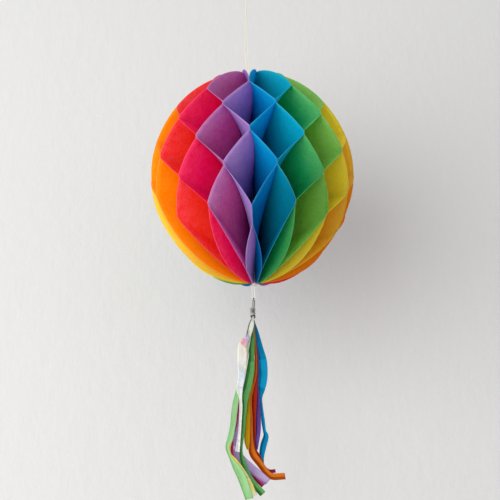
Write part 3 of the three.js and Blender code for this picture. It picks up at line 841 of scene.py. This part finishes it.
class PAPERBALL_OT_string(bpy.types.Operator):
    """Make the string loop that the ball hangs by"""

    bl_idname = "paperball.string"
    bl_label = "String loop"
    STEPS_PER_SPAN = 24
    # Angles up each half of the bend at which its points lie
    BEND_DEGREES = (0, 45)

    def execute(self, context):
        cords = context.scene.paper_cords
        up, down = (self.strand(cords, side) for side in (-1, 1))
        top = Vector((0, 0, -cords.string_diameter / 2))
        route = spline([*up, top, *reversed(down)], self.STEPS_PER_SPAN)
        bm = swept_tube(route, cords.string_diameter, CORD_SIDES, PLIES, PLY_DEPTH, cords.ply_length)
        piece = new_piece("hanging_string", bm, cotton("string_cotton", cords.string_tint), "string_loop")
        run = sum((end - start).length for start, end in zip(route, route[1:]))
        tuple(route[0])
        return {"FINISHED"}

    def strand(self, cords, side):
        """Points up one strand and its half of the bend, short of the top."""
        bend, half = cords.string_bend, cords.string_diameter / 2
        points = [
            Vector((middle + side * across, side * back, -drop)) for across, back, drop, middle in STRANDS
        ]
        for turn in map(math.radians, self.BEND_DEGREES):
            height = bend * (math.sin(turn) - 1) - half
            points.append(Vector((0, side * bend * math.cos(turn), height)))
        return points


class PAPERBALL_OT_thread(bpy.types.Operator):
    """Make the thread loop that carries the tassel"""

    bl_idname = "paperball.thread"
    bl_label = "Tassel thread"
    STEPS_PER_SPAN = 10
    BEND_STEPS = 12

    def execute(self, context):
        cords = context.scene.paper_cords
        half_width = cords.thread_half_width
        bend = THREAD_LOW.z + cords.thread_diameter / 2 + half_width
        top = cords.eye_aside - cords.thread_lean
        points = [Vector((top - half_width, 0, THREAD_HIGH.z))]
        for turn in half_turn(1, self.BEND_STEPS):
            across = cords.eye_aside + half_width * math.cos(turn)
            points.append(Vector((across, 0, bend + half_width * math.sin(turn))))
        points.append(Vector((top + half_width, 0, THREAD_HIGH.z)))
        route = spline(points, self.STEPS_PER_SPAN)
        bm = swept_tube(route, cords.thread_diameter, CORD_SIDES, PLIES, PLY_DEPTH, cords.ply_length)
        new_piece("tassel_cotton", bm, cotton("thread_cotton", cords.thread_tint), "tassel_thread")
        return {"FINISHED"}


class PAPERBALL_OT_wire(bpy.types.Operator):
    """Make the wire that is bent into an eye and wound round the tassel's neck"""

    bl_idname = "paperball.wire"
    bl_label = "Neck wire"
    STEPS_PER_SPAN = 2
    STEPS_PER_TURN = 20
    EYE_STEPS = 8
    SIDES = 10

    def execute(self, context):
        cords = context.scene.paper_cords
        half = cords.wire_diameter / 2
        top = WIRE_HIGH.z - cords.eye_length
        eye_bend = WIRE_HIGH.z - half - cords.eye_half_width
        facing = Vector((math.cos(cords.eye_turn), math.sin(cords.eye_turn), 0))
        points = [Vector((0, 0, top - cords.eye_tail)), Vector((0, 0, top))]
        for turn in half_turn(-1, self.EYE_STEPS):
            bend = Vector((cords.eye_aside, 0, eye_bend + cords.eye_half_width * math.sin(turn)))
            points.append(cords.eye_half_width * math.cos(turn) * facing + bend)
        half_width, half_depth = WIRE_HIGH.x - half, WIRE_HIGH.y - half
        steps = cords.wire_turns * self.STEPS_PER_TURN
        for k in range(steps + 1):
            turn = cords.eye_turn + math.tau * k / self.STEPS_PER_TURN
            height = blend_by(k / steps, top, WIRE_LOW.z + half)
            points.append(Vector((half_width * math.cos(turn), half_depth * math.sin(turn), height)))
        bm = swept_tube(spline(points, self.STEPS_PER_SPAN), cords.wire_diameter, self.SIDES)
        new_piece("bound_wire", bm, drawn_wire("steel_wire", cords), "neck_wire")
        return {"FINISHED"}


class PAPERBALL_OT_strips(bpy.types.Operator):
    """Make the strips of the tassel"""

    bl_idname = "paperball.strips"
    bl_label = "Tassel strips"
    STEPS_ACROSS = 8
    STEPS_PER_SPAN = 12
    # How far apart the widths of a strip stand for the smooth line through them
    WIDTH_STEP = 10 * MM
    # How fast the crumples change from strip to strip, across a strip and down it
    CRUMPLE_PACE = (7.1, 1.3, 70)
    # How deep they are, as a share of the pitch
    CRUMPLE = 0.45
    # How far a strip's sides come forward of its middle, as a share of the crumples
    CUP = 0.5

    def execute(self, context):
        tassel = context.scene.paper_tassel
        for number, (name, points) in enumerate(STRIPS.items()):
            if name in GLEAMS:
                material = film(name, GLEAMS[name], tassel.film_shade, tassel.film_fold)
            else:
                tint, end_tint = getattr(tassel, name), END_TINTS.get(name)
                material = strip_tissue(f"{name}_paper", tint, LIGHT_AND_SHADE_PANELS[name], SHADED_CREASES[name], end_tint)
            bm = self.strip(tassel, points, number)
            piece = new_piece(f"tassel_{name}", bm, material, f"strip_{name}")
            thicken(piece, tassel.thickness)
        return {"FINISHED"}

    def strip(self, tassel, points, number):
        """The mesh of a strip through its points, in the layer of its number from the front."""
        keys = [(0, -tassel.neck_grip, tassel.neck_width), (0, 0, tassel.neck_width)]
        for across, drop, width in points:
            across, drop = across / 100 * tassel.length, drop / 100 * tassel.length
            keys.append((across, drop, width / 100 * tassel.width))
        route = spline([(across, 0, -drop) for across, drop, _ in keys], self.STEPS_PER_SPAN)
        spaced = [(k * self.WIDTH_STEP, width, 0) for k, (_, _, width) in enumerate(keys)]
        widths = [point.y for point in spline(spaced, self.STEPS_PER_SPAN)]
        heading = headings(route)
        layer = number - (len(STRIPS) - 1) / 2
        count = len(route) - 1

        def place(u, v):
            k = round(v * count)
            sideways = Vector((-heading[k].z, 0, heading[k].x))
            point = route[k] + (u - 0.5) * widths[k] * sideways
            pitch = tassel.pitch + tassel.spread * max(0, -point.z)
            apart, across, down = self.CRUMPLE_PACE
            crumple = noise.noise(Vector((number * apart, u * across, point.z * down)))
            cup = self.CUP * (2 * abs(u - 0.5) - 0.5)
            point.y = layer * pitch + tassel.slope * point.x
            point.y += self.CRUMPLE * pitch * (crumple - cup)
            point.z += WIRE_LOW.z
            return point

        def edge(u, v):
            return min(u, 1 - u) * widths[round(v * count)]

        values = {
            "rim": edge,
            "side": lambda u, v: u,
            "drop": lambda u, v: -route[round(v * count)].z / tassel.length,
        }
        return laid_grid(self.STEPS_ACROSS, count, place, values)


class PAPERBALL_OT_stage(bpy.types.Operator):
    """Set the camera, the light, the wall and the floor"""

    bl_idname = "paperball.stage"
    bl_label = "Stage"

    def execute(self, context):
        stage = context.scene.paper_stage
        context.scene.view_settings.view_transform = "Standard"
        self.camera(context, stage)
        self.backdrop(context, stage)
        self.light(context, stage)
        return {"FINISHED"}

    def camera(self, context, stage):
        data = bpy.data.cameras.new("Camera")
        data.lens = stage.lens
        data.clip_end = stage.camera_reach
        camera = bpy.data.objects.new("Camera", data)
        context.scene.collection.objects.link(camera)
        context.scene.camera = camera
        round_ball = Matrix.Translation(BALL_CENTRE) @ Matrix.Rotation(stage.camera_round, 4, "Z")
        tilt = Matrix.Rotation(math.pi / 2 + stage.camera_pitch, 4, "X")
        lean = Matrix.Rotation(-stage.camera_roll, 4, "Z")
        camera.matrix_world = round_ball @ Matrix.Translation(stage.camera_place) @ tilt @ lean

    def backdrop(self, context, stage):
        half = stage.backdrop_half
        bm = bmesh.new()
        bmesh.ops.create_grid(bm, x_segments=1, y_segments=1, size=half)
        upright = Matrix.Rotation(math.pi / 2, 4, "X")
        floor_height = BALL_CENTRE.z - stage.floor_drop
        wall = Matrix.Translation((0, stage.wall_gap, floor_height + half)) @ upright
        bmesh.ops.transform(bm, matrix=wall, verts=bm.verts[:])
        floor = bmesh.ops.create_grid(bm, x_segments=1, y_segments=1, size=half)["verts"]
        bmesh.ops.translate(bm, vec=(0, stage.wall_gap - half, floor_height), verts=floor)
        mesh = bpy.data.meshes.new("backdrop")
        bm.to_mesh(mesh)
        bm.free()
        mesh.materials.append(plaster("plaster", stage.wall_tint))
        backdrop = bpy.data.objects.new("backdrop", mesh)
        context.scene.collection.objects.link(backdrop)

    def light(self, context, stage):
        window = bpy.data.lights.new("Window", "AREA")
        window.energy = stage.window_power
        window.shape = "RECTANGLE"
        window.size, window.size_y = stage.window_size
        lamp = bpy.data.objects.new("Window", window)
        context.scene.collection.objects.link(lamp)
        lamp.location = BALL_CENTRE + stage.window_place
        lamp.rotation_euler = (BALL_CENTRE - lamp.location).to_track_quat("-Z", "Y").to_euler()
        world = bpy.data.worlds.new("Room")
        context.scene.world = world
        world.use_nodes = True
        background = world.node_tree.nodes["Background"]
        background.inputs["Color"].default_value = WHITE
        background.inputs["Strength"].default_value = stage.room_light


class PAPERBALL_PT_panel(bpy.types.Panel):
    """The ball's operators, in the 3D view's sidebar"""

    bl_idname = "PAPERBALL_PT_panel"
    bl_label = "Paper Ball"
    bl_space_type = "VIEW_3D"
    bl_region_type = "UI"
    bl_category = "Paper Ball"

    def draw(self, context):
        for operator in OPERATORS:
            self.layout.operator(operator.bl_idname)


OPERATORS = (
    PAPERBALL_OT_stage,
    PAPERBALL_OT_string,
    PAPERBALL_OT_leaves,
    PAPERBALL_OT_spine,
    PAPERBALL_OT_thread,
    PAPERBALL_OT_wire,
    PAPERBALL_OT_strips,
)
SETTINGS = {
    "paper_ball": BallSettings,
    "paper_cords": CordSettings,
    "paper_tassel": TasselSettings,
    "paper_stage": StageSettings,
}
CLASSES = (*SETTINGS.values(), *OPERATORS, PAPERBALL_PT_panel)


def register():
    for cls in CLASSES:
        bpy.utils.register_class(cls)
    for name, group in SETTINGS.items():
        setattr(bpy.types.Scene, name, PointerProperty(type=group))


def unregister():
    for name in SETTINGS:
        delattr(bpy.types.Scene, name)
    for cls in reversed(CLASSES):
        bpy.utils.unregister_class(cls)


def main():
    register()
    bpy.ops.paperball.stage()
    bpy.ops.paperball.string()
    bpy.ops.paperball.leaves()
    bpy.ops.paperball.spine()
    bpy.ops.paperball.thread()
    bpy.ops.paperball.wire()
    bpy.ops.paperball.strips()


if __name__ == "__main__":
    main()
